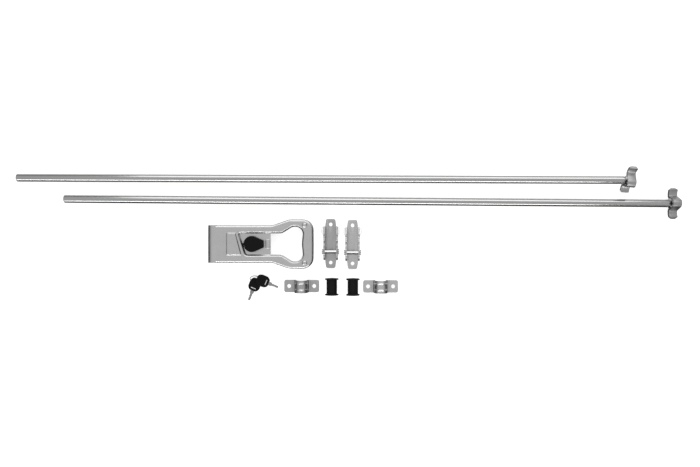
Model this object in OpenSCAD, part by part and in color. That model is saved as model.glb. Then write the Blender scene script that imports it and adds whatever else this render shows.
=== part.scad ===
// Door locking gear kit for 16 mm lock bars, laid out flat
// X runs along the bars, Z points up from the surface the kit lies on
// The origin is the middle of the base plate fixing holes, on its back face

/* [Lock bars] */
// Outside diameter of the lock bar tube
bar_d = 16; // [14:0.5:18]
// Wall thickness of the lock bar tube
bar_wall = 1.5; // [1:0.1:2.5]
// Length of each lock bar tube
bar_len = 1258; // [900:1:1600]
// Distance the tube reaches into the cam
cam_overlap = 12; // [8:0.5:16]
// Depth to which the welded end of the tube is dressed
end_dress = 0.5; // [0.4:0.05:0.6]
// Plain end of the upper bar along X
upper_x = -470.2; // [-600:0.1:-300]
// Plain end of the upper bar along Y
upper_y = 136.3; // [126:0.1:180]
// Heading of the upper bar in the plane
upper_yaw = -0.278; // [-0.4:0.01:0.4]
// Plain end of the lower bar along X
lower_x = -372.8; // [-600:0.1:-300]
// Plain end of the lower bar along Y
lower_y = 92.7; // [84:0.1:95]
// Heading of the lower bar in the plane
lower_yaw = -0.425; // [-0.5:0.01:0]
// Roll of the upper bar about its own axis
upper_roll = 38; // [0:1:60]

/* [Cams] */
// Thickness of the cam strip
cam_t = 5.5; // [5:0.25:6]
// Width of the cam along the bar
cam_w = 17; // [15:0.1:20]
// Distance from the bar axis to each wing tip
cam_reach = 31.9; // [29:0.1:36]
// Space between the bar and the top of the saddle
cam_head_gap = 4.9; // [4:0.1:6]
// Slope of the saddle legs
cam_slope = 66; // [60:1:72]
// Inside radius of the valley bends
cam_bend_r = 3; // [2:0.25:4]
// Upper face radius of the wings
cam_wing_r = 19; // [16:0.5:30]
// Chamfer on the wing tip corners
cam_chamfer = 4; // [2:0.25:5]
// Leg size of the weld beads
weld_leg = 2.6; // [1.5:0.1:3.5]

/* [Handle] */
// Sheet thickness of the handle
handle_t = 2; // [1.5:0.1:2.5]
// Width of the handle over its straight part
handle_w = 76.6; // [72:0.2:86]
// Width of the handle across the grip
grip_w = 100.6; // [98:0.2:108]
// Distance from the origin to the outer end of the grip
grip_end = 139.4; // [136:0.2:146]
// Corner radius of the grip outline
grip_r = 21; // [16:0.5:24]
// Radius of the outer rim bend
rim_r = 5; // [4:0.25:6]
// Gap between the rim and the door
rim_gap = 0.6; // [0.4:0.1:2]
// Width of the slot around the lock
slot_w = 43; // [41:0.2:45]
// Height of the grip opening
opening_h = 70.4; // [66:0.2:72]
// Outer end of the grip opening
opening_end = 120.5; // [118:0.1:122]
// Radius of the bend around the opening
lip_r = 4; // [3:0.25:4.5]
// Depth of the lip around the opening
lip_depth = 6.4; // [5.5:0.1:7]
// Height of the pressed panel on the handle
panel_rise = 1.5; // [0.8:0.1:2]
// Height of the stiffening dimples
dimple_rise = 1.5; // [0.6:0.1:2]

/* [Hub] */
// Distance from the origin to the hub axis
hub_back = 63.2; // [62:0.1:68]
// Height of the hub and bearing axis above the door
axis_z = 14.2; // [14.1:0.1:16]
// Wall thickness of the hub sleeve
hub_wall = 2.25; // [1.8:0.05:3]
// Radial running clearance on the bars
bar_clear = 0.05; // [0.02:0.01:0.09]
// Diameter of the hub grub screws
grub_d = 5; // [4:0.5:6]

/* [Base plate] */
// Sheet thickness of the base plate
base_t = 2; // [1.5:0.1:2.5]
// Rear end of the base plate
base_back = 48; // [44:0.5:50]
// Front end of the base plate
base_front = 52.6; // [48:0.1:56]
// Overall width of the base plate
base_w = 69; // [60:0.2:80]
// Width of the flange on each side of the base plate
base_flange = 8.5; // [7.5:0.1:10]
// Clearance between the base plate and the handle walls
side_gap = 1.8; // [1:0.1:4]
// Diameter of the base plate fixing holes
base_hole_d = 5.5; // [4.5:0.1:6]
// Spacing of the base plate holes along X
base_pitch_x = 72; // [60:1:80]
// Height of the pressed tab at the front of the plate
tab_rise = 0.8; // [0.4:0.1:0.9]

/* [Lock] */
// Distance from the origin to the lock axis
lock_x = 14.9; // [14.6:0.1:17]
// Diameter of the lock barrel
barrel_d = 20; // [18:0.5:22]
// Diameter of the lock plug
plug_d = 14; // [12:0.5:15]
// Radial running clearance of the plug
plug_clear = 0.05; // [0.02:0.01:0.09]
// Overlap of the locked tongue and the catch on the handle
tongue_bite = 5.5; // [4:0.1:6.5]
// Width of the locking tongue
tongue_w = 13; // [10:0.5:14]
// Radius of the round end of the lock cover
cover_r = 16.3; // [15.4:0.1:16.4]
// Nose of the lock cover measured from the lock axis
cover_nose = 24.1; // [22:0.1:27]
// Width of the nose of the lock cover
cover_nose_w = 15.2; // [12:0.1:18]
// Thickness of the lock cover
cover_t = 5.7; // [5:0.1:7]

/* [Keepers] */
// Sheet thickness of the keepers
keeper_t = 2.5; // [2:0.1:3]
// Width inside the keeper walls
keeper_in = 23.6; // [20:0.2:26]
// Overall length of a keeper
keeper_len = 102; // [98:0.5:110]
// Hole spacing of a keeper
keeper_pitch = 79; // [77:0.5:82]
// Diameter of the keeper holes
keeper_hole_d = 7.5; // [6:0.1:8.5]
// Diameter of the keeper cross bar
keeper_bar_d = 8; // [6:0.25:9]
// Height of the keeper cross bar axis
keeper_bar_z = 17; // [15:0.5:18]

/* [Bearings] */
// Sheet thickness of the bearing straps
strap_t = 2.5; // [2:0.1:3]
// Length of a bearing strap
strap_len = 72; // [70:0.5:80]
// Width of a bearing strap
strap_w = 25.9; // [22:0.1:28]
// Hole spacing of a bearing strap
strap_pitch = 52; // [50:0.5:54]
// Diameter of the strap holes
strap_hole_d = 7.9; // [6:0.1:8.5]
// Outside diameter of the bush barrel
bush_d = 21.4; // [20:0.1:23]
// Diameter of the bush flanges
bush_flange_d = 28; // [26:0.1:28.1]
// Length of a bush
bush_len = 34.5; // [32:0.1:38]
// Height of the two ribs pressed across a strap
rib_rise = 1.2; // [0.6:0.1:1.6]
// Spacing of the two ribs of a strap
rib_pitch = 12.8; // [10:0.2:16]
// Clearance between strap and bush barrel
strap_clear = 0.2; // [0.1:0.05:0.4]

/* [Keys] */
// Length of a key head
key_head_l = 27; // [26:0.5:30]
// Width of a key head
key_head_w = 24; // [22:0.5:25]
// Thickness of a key head
key_head_t = 4.4; // [3.5:0.1:4.6]
// Reach of the key blade from the head centre
key_reach = 35.4; // [30:0.2:40]
// Width of the key blade
key_blade_w = 4.6; // [4:0.1:6]
// Length of the window across a key head
key_window = 11; // [8:0.5:12]
// Radius of the key ring
ring_r = 6.4; // [6:0.1:7]
// Wire diameter of the key ring
ring_wire = 1.6; // [1.2:0.1:1.8]

/* [Hidden] */
$fn = 64;
eps = 0.01;
arc_n = 6;
bend_n = 3;
bar_r = bar_d / 2;
cam_start = bar_len - cam_overlap;
dressed_r = bar_r - end_dress;
leg_out = dressed_r + cam_t;
saddle_z = (bar_r + cam_head_gap + cam_t - leg_out) / (1 - cos(cam_slope));
saddle_r = leg_out - saddle_z * cos(cam_slope);
valley_z = cam_t - bar_r;
bend_z = valley_z + cam_bend_r;
wing_c = (leg_out + cam_bend_r - bend_z * cos(cam_slope)) / sin(cam_slope);
wing_out = cam_wing_r + cam_t;
wing_sweep = asin((cam_reach - wing_c) / wing_out);
tip_z = wing_out * (1 - cos(wing_sweep)) - bar_r;
tip_low = cam_reach * sin(upper_roll) - tip_z * cos(upper_roll);
wing_low = wing_c * sin(upper_roll) - (valley_z + cam_wing_r) * cos(upper_roll) + wing_out;
upper_rest = upper_roll < wing_sweep ? wing_low : tip_low;
weld_toe = 1;
weld_span = 64;
plain_len = cam_start - weld_leg - weld_toe;
upper_pitch = asin((upper_rest - bar_r) / (cam_start + cam_w / 2));
hub_in = bar_r + bar_clear;
hub_out = hub_in + hub_wall;
hub_free = 0.1;
top_z = axis_z + hub_out + handle_t;
lip_z = top_z - lip_depth;
plateau_z = lip_z - 0.6;
lever_w = max(handle_w, base_w + 2 * (handle_t + side_gap));
flare_least = 8;
lever_grip_w = max(grip_w, lever_w + flare_least);
wall_in = lever_w / 2 - handle_t;
plateau_w = base_w - 2 * base_flange;
base_pitch_y = base_w - base_flange;
panel_half = lever_w / 2 - 14.7;
panel_run = 2.8;
dimple_r = 5.6;
dimple_x = grip_end - 16.9;
dimple_y = lever_grip_w / 2 - 11.8;
lip_back = -10.8;
lip_front = 3;
rim_start = -58;
sheet_in = rim_start + rim_r + 1;
flare_0 = 56;
flare_1 = 91;
open_flare_0 = 76;
open_flare_1 = 98;
open_waist = opening_end - 4;
head_r = 15;
head_t = 2;
head_z = plateau_z + head_t;
cover_z = head_z + 0.3;
cover_top = cover_z + cover_t;
hinge_x = lock_x - 15.1;
hinge_z = cover_top - 1.5;
hinge_r = 1.6;
cover_side = 70;
cover_bevel = 1.2;
pin_r = 0.8;
lug_w = 5.4;
ear_w = 2.2;
ear_gap = 0.3;
plug_low = 9;
tail_r = 4;
tongue_z = 6.2;
tongue_t = 2.5;
nut_t = 3.2;
nut_r = 15;
screw_r = 2;
screw_head_r = 4.5;
screw_head_t = 2.5;
catch_t = 1.8;
catch_gap = 0.5;
catch_clear = 2.5;
catch_in = plateau_w / 2 + catch_clear;
tongue_len = catch_in + tongue_bite;
keeper_wall = 3;
keeper_bar_y = -16.6;
loop_y = 26.6;
loop_half = 7.6;
loop_out = 2.4;
loop_t = 0.8;
loop_off = 0.7;
loop_z = 18.9;
loop_h = 4;
left_keeper_at = [175.1, 0.9, 0];
right_keeper_at = [220.3, -1, 0];
strap_r = bush_d / 2 + strap_clear;
strap_out = strap_r + strap_t;
strap_bend = 4;
rib_r = 2;
groove_r = 1.4;
groove_depth = 1;
left_strap_at = [115, -87.3, 0];
right_strap_at = [278.3, -88, 0];
left_bush_at = [177.6, -87.9, bush_flange_d / 2];
right_bush_at = [220.9, -88.3, bush_flange_d / 2];
flange_t = 2.7;
key_a_at = [18.1, -84.1, 0.2];
key_a_turn = -111.1;
key_b_at = [35, -76.2, 5.2];
key_b_turn = -22.6;
ring_at = [20.6, -74, 5.8];
ring_lean = 50;
ring_free = 0.75;
blade_t = 2;
window_w = 1.4;
window_x = key_head_l / 2 - 5.8;
root_w = 12.6;

function unit(v) = v / norm(v);
function wrap(a) = a > 180 ? a - 360 : a < -180 ? a + 360 : a;
function xy(p) = [p[0], p[1]];
function turn_sign(a, p, b) = sign((p[0] - a[0]) * (b[1] - p[1]) - (p[1] - a[1]) * (b[0] - p[0]));
function half_angle(a, p, b) = acos(unit(xy(a) - xy(p)) * unit(xy(b) - xy(p))) / 2;
function bisector(a, p, b) = unit(unit(xy(a) - xy(p)) + unit(xy(b) - xy(p)));
function arc(c, r, a0, sweep, n) =
    [for (i = [0:n]) c + r * [cos(a0 + sweep * i / n), sin(a0 + sweep * i / n)]];
function corner(a, p, b, n) =
    let (h = half_angle(a, p, b))
    let (c = xy(p) + bisector(a, p, b) * p[2] / sin(h))
    let (t0 = xy(p) + unit(xy(a) - xy(p)) * p[2] / tan(h) - c)
    let (t1 = xy(p) + unit(xy(b) - xy(p)) * p[2] / tan(h) - c)
    let (a0 = atan2(t0[1], t0[0]))
    arc(c, p[2], a0, wrap(atan2(t1[1], t1[0]) - a0), n);
function prev_of(cs, k) = cs[(k + len(cs) - 1) % len(cs)];
function next_of(cs, k) = cs[(k + 1) % len(cs)];
function rounded(cs, n) =
    [for (k = [0:len(cs) - 1]) each corner(prev_of(cs, k), cs[k], next_of(cs, k), n)];
function moved(a, p, b, d) =
    let (s = turn_sign(a, p, b))
    let (q = xy(p) + bisector(a, p, b) * s * d / sin(half_angle(a, p, b)))
    [q[0], q[1], max(0.2, p[2] - s * d)];
function inset(cs, d) =
    [for (k = [0:len(cs) - 1]) moved(prev_of(cs, k), cs[k], next_of(cs, k), d)];
function at_z(pts, z) = [for (p = pts) [p[0], p[1], z]];
function mirrored(pts) = [for (i = [len(pts) - 1:-1:0]) [-pts[i][0], pts[i][1]]];

module ring_skin(rows) {
    n = len(rows[0]);
    m = len(rows);
    polyhedron(
        points = [for (r = rows) each r],
        faces = [for (j = [0:m - 1], i = [0:n - 1], h = [0, 1])
            let (a = j * n + i)
            let (b = ((j + 1) % m) * n + i)
            let (c = ((j + 1) % m) * n + (i + 1) % n)
            let (d = j * n + (i + 1) % n)
            h == 0 ? [a, b, c] : [a, c, d]],
        convexity = 8);
}

module capped_skin(rows) {
    n = len(rows[0]);
    m = len(rows);
    polyhedron(
        points = [for (r = rows) each r],
        faces = concat(
            [[for (i = [0:n - 1]) i]],
            [[for (i = [n - 1:-1:0]) (m - 1) * n + i]],
            [for (j = [0:m - 2], i = [0:n - 1], h = [0, 1])
                let (a = j * n + i)
                let (b = (j + 1) * n + i)
                let (c = (j + 1) * n + (i + 1) % n)
                let (d = j * n + (i + 1) % n)
                h == 0 ? [a, b, c] : [a, c, d]]),
        convexity = 4);
}

module along_x(r, l) {
    rotate([0, 90, 0])
        cylinder(r = r, h = l);
}

module along_y(r, l) {
    rotate([-90, 0, 0])
        cylinder(r = r, h = l);
}

module upper_place() {
    translate([upper_x, upper_y, bar_r])
        rotate([0, 0, upper_yaw])
            rotate([0, -upper_pitch, 0])
                rotate([upper_roll, 0, 0])
                    children();
}

module lower_place() {
    translate([lower_x, lower_y, bar_r])
        rotate([0, 0, lower_yaw])
            children();
}

module bar_tube() {
    difference() {
        union() {
            along_x(bar_r, plain_len);
            along_x(dressed_r, bar_len);
        }
        translate([-eps, 0, 0])
            along_x(bar_r - bar_wall, bar_len + 2 * eps);
    }
}

function cam_half() = concat(
    arc([0, saddle_z], saddle_r, 90, -cam_slope, 2 * arc_n),
    arc([wing_c, bend_z], cam_bend_r, 270 - cam_slope, cam_slope, arc_n),
    arc([wing_c, valley_z + cam_wing_r], cam_wing_r, 270, wing_sweep, 2 * arc_n),
    arc([wing_c, valley_z + cam_wing_r], wing_out, 270 + wing_sweep, -wing_sweep, 2 * arc_n),
    arc([wing_c, bend_z], cam_bend_r + cam_t, 270, -cam_slope, arc_n),
    arc([0, saddle_z], saddle_r - cam_t, 90 - cam_slope, cam_slope, 2 * arc_n));

module cam_strip() {
    rotate([90, 0, 90])
        linear_extrude(cam_w)
            polygon(cam_half());
}

module cam_plan() {
    linear_extrude(4 * cam_reach, center = true)
        polygon([[0, -cam_reach + cam_chamfer], [cam_chamfer + 1, -cam_reach - 1],
            [cam_w - cam_chamfer - 1, -cam_reach - 1], [cam_w, -cam_reach + cam_chamfer],
            [cam_w, cam_reach - cam_chamfer], [cam_w - cam_chamfer - 1, cam_reach + 1],
            [cam_chamfer + 1, cam_reach + 1], [0, cam_reach - cam_chamfer]]);
}

module cam_body() {
    translate([cam_start, 0, 0])
        intersection() {
            union() {
                cam_strip();
                mirror([0, 1, 0])
                    cam_strip();
            }
            cam_plan();
        }
}

module weld_bead(a0) {
    translate([cam_start, 0, 0])
        rotate([0, -90, 0])
            rotate([0, 0, a0])
                rotate_extrude(angle = weld_span)
                    polygon([[dressed_r, 0], [bar_r + weld_leg, 0], [dressed_r, weld_leg]]);
}

module cam_welds() {
    weld_bead(cam_slope - weld_span / 2);
    weld_bead(-cam_slope - weld_span / 2);
}

function handle_outline() = [
    [rim_start, -lever_w / 2, rim_r + 0.5],
    [flare_0, -lever_w / 2, 30],
    [flare_1, -lever_grip_w / 2, 30],
    [grip_end, -lever_grip_w / 2, grip_r],
    [grip_end + 0.4, 0, 160],
    [grip_end, lever_grip_w / 2, grip_r],
    [flare_1, lever_grip_w / 2, 30],
    [flare_0, lever_w / 2, 30],
    [rim_start, lever_w / 2, rim_r + 0.5]];

function opening_outline() = [
    [lip_front, -slot_w / 2, 5],
    [open_flare_0, -slot_w / 2, 20],
    [open_flare_1, -opening_h / 2, 12],
    [opening_end, -opening_h / 2, 15],
    [open_waist, 0, 60],
    [opening_end, opening_h / 2, 15],
    [open_flare_1, opening_h / 2, 12],
    [open_flare_0, slot_w / 2, 20],
    [lip_back, slot_w / 2, 3]];

function rim_row(d, z) = at_z(rounded(inset(handle_outline(), d), arc_n), z);
function lip_row(d, z) = at_z(rounded(inset(opening_outline(), -d), arc_n), z);

function bend_angle(k) = 90 * k / bend_n;

module handle_skin() {
    ring_skin(concat(
        [rim_row(0, rim_gap)],
        [for (k = [0:bend_n])
            rim_row(rim_r * (1 - cos(bend_angle(k))), top_z - rim_r * (1 - sin(bend_angle(k))))],
        [for (k = [bend_n:-1:0])
            lip_row(lip_r * (1 - cos(bend_angle(k))), top_z - lip_r * (1 - sin(bend_angle(k))))],
        [lip_row(0, lip_z)],
        [lip_row(handle_t, lip_z)],
        [for (k = [0:bend_n])
            lip_row(lip_r - (lip_r - handle_t) * cos(bend_angle(k)),
                top_z - lip_r + (lip_r - handle_t) * sin(bend_angle(k)))],
        [for (k = [bend_n:-1:0])
            rim_row(rim_r - (rim_r - handle_t) * cos(bend_angle(k)),
                top_z - rim_r + (rim_r - handle_t) * sin(bend_angle(k)))],
        [rim_row(handle_t, rim_gap)]));
}

function panel_outline() = [
    [-37, -panel_half, 4], [-4, -panel_half, 4], [-17, panel_half, 4], [-37, panel_half, 4]];

module panel_pad() {
    capped_skin([
        at_z(rounded(panel_outline(), arc_n), top_z - handle_t / 2),
        at_z(rounded(panel_outline(), arc_n), top_z),
        at_z(rounded(inset(panel_outline(), panel_run * 0.3), arc_n), top_z + panel_rise * 0.2),
        at_z(rounded(inset(panel_outline(), panel_run * 0.7), arc_n), top_z + panel_rise * 0.8),
        at_z(rounded(inset(panel_outline(), panel_run), arc_n), top_z + panel_rise)]);
}

module dimple() {
    rotate_extrude()
        polygon([[0, -handle_t / 2], [dimple_r, -handle_t / 2], [dimple_r, 0],
            [dimple_r * 0.8, dimple_rise * 0.4], [dimple_r * 0.5, dimple_rise * 0.85], [0, dimple_rise]]);
}

module hub_curl() {
    translate([-hub_back, lever_w / 2, axis_z])
        rotate([90, 0, 0])
            rotate([0, 0, 90])
                rotate_extrude(angle = 115)
                    translate([hub_out, 0])
                        square([handle_t, lever_w]);
}

module hub_sheet() {
    translate([0, 0, top_z - handle_t])
        linear_extrude(handle_t)
            polygon([[-hub_back, -lever_w / 2], [rim_start + 1, -lever_w / 2],
                [rim_start + 1, -lever_w / 2 + rim_r], [sheet_in, -lever_w / 2 + rim_r],
                [sheet_in, lever_w / 2 - rim_r], [rim_start + 1, lever_w / 2 - rim_r],
                [rim_start + 1, lever_w / 2], [-hub_back, lever_w / 2]]);
}

module handle_lever() {
    color("silver") {
        difference() {
            handle_skin();
            translate([rim_start - 1, -lever_w / 2 + rim_r, 0])
                cube([rim_r + 1.5, lever_w - 2 * rim_r, top_z - handle_t]);
            intersection() {
                translate([-hub_back, -lever_w, axis_z])
                    along_y(hub_out + hub_free, 2 * lever_w);
                translate([-hub_back, -lever_w, 0])
                    cube([3 * hub_out, 2 * lever_w, top_z - handle_t]);
            }
        }
        hub_sheet();
        hub_curl();
        panel_pad();
        for (s = [-1, 1])
            translate([dimple_x, s * dimple_y, top_z])
                dimple();
    }
}

module hub_sleeve() {
    color("silver")
        translate([-hub_back, -lever_w / 2, axis_z])
            difference() {
                along_y(hub_out, lever_w);
                translate([0, -eps, 0])
                    along_y(hub_in, lever_w + 2 * eps);
                for (y = [lever_w * 0.2, lever_w * 0.8])
                    translate([0, y, 0])
                        along_x(grub_d / 2, 2 * hub_out);
            }
}

module hub_grub_screws() {
    color("dimgray")
        for (y = [-lever_w * 0.3, lever_w * 0.3])
            translate([-hub_back + hub_in + 0.3, y, axis_z])
                difference() {
                    along_x(grub_d / 2, hub_wall + 2);
                    translate([hub_wall + 0.5, 0, 0])
                        along_x(grub_d / 4, 2);
                }
}

module handle_catch() {
    color("gray")
        translate([lock_x - 9, catch_in, tongue_z - catch_gap - catch_t])
            cube([18, wall_in - catch_in, catch_t]);
}

function hat_half() = concat(
    [[0, plateau_z]],
    corner([0, plateau_z], [plateau_w / 2, plateau_z, 3], [plateau_w / 2, 0], arc_n),
    corner([plateau_w / 2, plateau_z], [plateau_w / 2, base_t, 1.5], [base_w / 2, base_t], arc_n),
    [[base_w / 2, base_t], [base_w / 2, 0]],
    corner([base_w / 2, 0], [plateau_w / 2 - base_t, 0, 1.5 + base_t],
        [plateau_w / 2 - base_t, plateau_z], arc_n),
    corner([plateau_w / 2 - base_t, 0], [plateau_w / 2 - base_t, plateau_z - base_t, 1],
        [0, plateau_z - base_t], arc_n),
    [[0, plateau_z - base_t]]);

module base_plate() {
    color("silver")
        difference() {
            union() {
                translate([-base_back, 0, 0])
                    rotate([90, 0, 90])
                        linear_extrude(base_back + base_front)
                            polygon(concat(hat_half(), mirrored(hat_half())));
                translate([0, 0, plateau_z - base_t / 2])
                    linear_extrude(base_t / 2 + tab_rise)
                        polygon(rounded([[base_front - 9.6, -9.8, 2.5], [base_front, -9.8, 0.3],
                            [base_front, 9.8, 0.3], [base_front - 9.6, 9.8, 2.5]], arc_n));
            }
            translate([lock_x, 0, plateau_z - 2 * base_t])
                cylinder(d = barrel_d, h = 4 * base_t);
            for (x = [-1, 1], y = [-1, 1])
                translate([x * base_pitch_x / 2, y * base_pitch_y / 2, -1])
                    cylinder(d = base_hole_d, h = base_t + 2);
            translate([lock_x - 32, plateau_w / 2 - base_t - 2, tongue_z - 0.7])
                cube([41, base_t + 4, tongue_t + 1.4]);
        }
}

module lock_housing() {
    color("#1c1c1c")
        difference() {
            union() {
                translate([lock_x, 0, plateau_z])
                    cylinder(r = head_r, h = head_t);
                translate([lock_x, 0, plug_low])
                    cylinder(d = barrel_d, h = plateau_z - plug_low + eps);
                for (s = [-1, 1])
                    translate([hinge_x, s * (lug_w / 2 + ear_gap + ear_w / 2), 0]) {
                        translate([-hinge_r, -ear_w / 2, plateau_z])
                            cube([2 * hinge_r, ear_w, hinge_z - plateau_z]);
                        translate([0, -ear_w / 2, hinge_z])
                            along_y(hinge_r, ear_w);
                    }
                translate([hinge_x - hinge_r, -lug_w / 2 - ear_gap - ear_w, plateau_z])
                    cube([6, lug_w + 2 * ear_gap + 2 * ear_w, head_t]);
            }
            translate([lock_x, 0, plug_low - 1])
                cylinder(r = plug_d / 2 + plug_clear, h = head_z - plug_low + 2);
            translate([hinge_x, -10, hinge_z])
                along_y(pin_r, 20);
        }
}

module lock_plug() {
    color("silver")
        difference() {
            union() {
                translate([lock_x, 0, plug_low])
                    cylinder(d = plug_d, h = head_z - plug_low);
                translate([lock_x, 0, tongue_z])
                    cylinder(r = tail_r, h = plug_low - tongue_z + eps);
            }
            translate([lock_x - 0.6, -3.6, head_z - 9])
                cube([1.2, 7.2, 10]);
            translate([lock_x, 0, tongue_z - 1])
                cylinder(r = screw_r, h = 6);
        }
}

module lock_nut() {
    color("silver")
        translate([lock_x, 0, plateau_z - base_t - nut_t])
            difference() {
                cylinder(r = nut_r, h = nut_t, $fn = 6);
                translate([0, 0, -1])
                    cylinder(d = barrel_d, h = nut_t + 2);
            }
}

module lock_tongue() {
    color("gray")
        translate([lock_x, 0, tongue_z])
            difference() {
                linear_extrude(tongue_t)
                    polygon(rounded([[-tongue_len, -tongue_w / 2, 3], [tongue_w / 2, -tongue_w / 2, 6],
                        [tongue_w / 2, tongue_w / 2, 6], [-tongue_len, tongue_w / 2, 3]], arc_n));
                translate([0, 0, -1])
                    cylinder(r = tail_r, h = tongue_t + 2);
            }
}

module tongue_screw() {
    color("dimgray")
        translate([lock_x, 0, tongue_z]) {
            translate([0, 0, -screw_head_t])
                cylinder(r = screw_head_r, h = screw_head_t);
            translate([0, 0, -eps])
                cylinder(r = screw_r, h = 5);
        }
}

module cover_plan() {
    half = cover_nose_w / 2;
    polygon(concat(
        arc([0, 0], cover_r, cover_side, 360 - 2 * cover_side, 8 * arc_n),
        [[cover_nose - cover_bevel, -half], [cover_nose, -half + cover_bevel],
            [cover_nose, half - cover_bevel], [cover_nose - cover_bevel, half]]));
}

module lock_cover() {
    color("#1c1c1c")
        difference() {
            union() {
                difference() {
                    translate([lock_x, 0, cover_z])
                        linear_extrude(cover_t)
                            cover_plan();
                    for (s = [-1, 1])
                        translate([hinge_x - 4, s * (lug_w / 2 + ear_gap + ear_w / 2), cover_z + cover_t / 2])
                            cube([8 + 2 * hinge_r, ear_w + 2 * ear_gap, cover_t + 2], center = true);
                }
                translate([hinge_x, -lug_w / 2, hinge_z])
                    along_y(hinge_r - 0.1, lug_w);
            }
            translate([hinge_x, -lug_w, hinge_z])
                along_y(pin_r + 0.05, 2 * lug_w);
        }
}

module cover_hinge_pin() {
    color("silver")
        translate([hinge_x, -lug_w / 2 - ear_gap - ear_w, hinge_z])
            along_y(pin_r, lug_w + 2 * ear_gap + 2 * ear_w);
}

function keeper_edge() = [
    [9.3, -keeper_len / 2, 4], [10.9, -keeper_len / 2 + 12, 6], [11.2, -34.6, 0.2],
    [keeper_in / 2 + keeper_wall, -34.3, 0.3], [keeper_in / 2 + keeper_wall, 35.3, 0.3],
    [11.2, 35.6, 0.2], [10.9, keeper_len / 2 - 12, 6], [9.3, keeper_len / 2, 4]];

function keeper_plan() = concat(
    keeper_edge(),
    [for (k = [len(keeper_edge()) - 1:-1:0])
        [-keeper_edge()[k][0], keeper_edge()[k][1], keeper_edge()[k][2]]]);

function keeper_side() = [
    [-34, 0, 0.5], [35, 0, 0.5], [35, 22, 3], [20, 24, 4], [13.5, 13, 3], [7, 17.5, 3],
    [1.5, 10.5, 2.5], [-4, 12, 2.5], [-8, 18, 3], [-10, keeper_bar_z + 6.5, 3],
    [-23, keeper_bar_z + 6.5, 4], [-26, 15, 3], [-31, 12, 2], [-34, 3, 1]];

module keeper_wall_plate(s) {
    translate([s * (keeper_in / 2 + keeper_wall / 2) - keeper_wall / 2, 0, 0])
        rotate([90, 0, 90])
            linear_extrude(keeper_wall)
                polygon(rounded(keeper_side(), arc_n));
}

module loop_slab(in, z, h) {
    a = loop_out - in;
    b = loop_half - in;
    r = a * 0.9;
    translate([0, 0, z])
        linear_extrude(h)
            polygon(rounded([[-a, -b, r], [a, -b, r], [a, b, r], [-a, b, r]], arc_n));
}

module keeper_loop(s) {
    translate([s * (keeper_in / 2 + keeper_wall + loop_off), loop_y, 0])
        difference() {
            loop_slab(0, loop_z, loop_h);
            loop_slab(loop_t, loop_z - 1, loop_h + 2);
        }
}

module keeper_body() {
    difference() {
        union() {
            linear_extrude(keeper_t)
                polygon(rounded(keeper_plan(), arc_n));
            for (s = [-1, 1]) {
                keeper_wall_plate(s);
                keeper_loop(s);
            }
        }
        for (s = [-1, 1])
            translate([0, s * keeper_pitch / 2, -1])
                cylinder(d = keeper_hole_d, h = keeper_t + 2);
        translate([-30, keeper_bar_y, keeper_bar_z])
            along_x(keeper_bar_d / 2, 60);
    }
}

module keeper_bar() {
    w = keeper_in / 2 + keeper_wall;
    translate([-w, keeper_bar_y, keeper_bar_z])
        along_x(keeper_bar_d / 2, 2 * w);
    for (s = [-1, 1])
        translate([s * (w + 1.4) - 1.4, keeper_bar_y, keeper_bar_z])
            along_x(keeper_bar_d / 2 + 1.2, 2.8);
}

module strap_rib(arch_r, r, foot) {
    translate([0, 0, axis_z])
        rotate([90, 0, 0])
            rotate_extrude(angle = 180)
                translate([arch_r, 0])
                    circle(r = r, $fn = 32);
    for (s = [-1, 1])
        translate([s * arch_r, 0, foot])
            cylinder(r = r, h = axis_z - foot, $fn = 32);
}

module strap_body() {
    leg = strap_out + strap_bend;
    difference() {
        union() {
            translate([0, strap_w / 2, axis_z])
                rotate([90, 0, 0])
                    cylinder(r = strap_out, h = strap_w);
            translate([-strap_out, -strap_w / 2, 0])
                cube([2 * strap_out, strap_w, axis_z]);
            translate([-leg, -strap_w / 2, 0])
                cube([2 * leg, strap_w, strap_t + strap_bend]);
            linear_extrude(strap_t)
                polygon(rounded([[-strap_len / 2, -strap_w / 2, 4], [strap_len / 2, -strap_w / 2, 4],
                    [strap_len / 2, strap_w / 2, 4], [-strap_len / 2, strap_w / 2, 4]], arc_n));
            for (s = [-1, 1])
                translate([0, s * rib_pitch / 2, 0])
                    strap_rib(strap_out + rib_rise - rib_r, rib_r, strap_t + strap_bend);
        }
        for (s = [-1, 1])
            translate([0, s * rib_pitch / 2, 0])
                strap_rib(strap_r + groove_depth - groove_r, groove_r, -1);
        translate([0, strap_w / 2 + 1, axis_z])
            rotate([90, 0, 0])
                cylinder(r = strap_r, h = strap_w + 2);
        translate([-strap_r, -strap_w / 2 - 1, -1])
            cube([2 * strap_r, strap_w + 2, axis_z + 1]);
        for (s = [-1, 1]) {
            translate([s * leg, strap_w / 2 + 1, strap_t + strap_bend])
                rotate([90, 0, 0])
                    cylinder(r = strap_bend, h = strap_w + 2);
            translate([s * strap_pitch / 2, 0, -1])
                cylinder(d = strap_hole_d, h = strap_t + 2);
        }
    }
}

module bush_body() {
    translate([0, -bush_len / 2, 0])
        difference() {
            union() {
                along_y(bush_d / 2, bush_len);
                along_y(bush_flange_d / 2, flange_t);
                translate([0, bush_len - flange_t, 0])
                    along_y(bush_flange_d / 2, flange_t);
            }
            translate([0, -1, 0])
                along_y(bar_r + bar_clear, bush_len + 2);
        }
}

function key_plan() = [
    [-key_head_l / 2, -key_head_w * 0.36, 7], [-key_head_l * 0.18, -key_head_w / 2, 9],
    [key_head_l * 0.28, -key_head_w / 2, 9], [key_head_l / 2, -key_head_w * 0.3, 6],
    [key_head_l / 2, key_head_w * 0.3, 6], [key_head_l * 0.28, key_head_w / 2, 9],
    [-key_head_l * 0.18, key_head_w / 2, 9], [-key_head_l / 2, key_head_w * 0.36, 7]];

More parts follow.
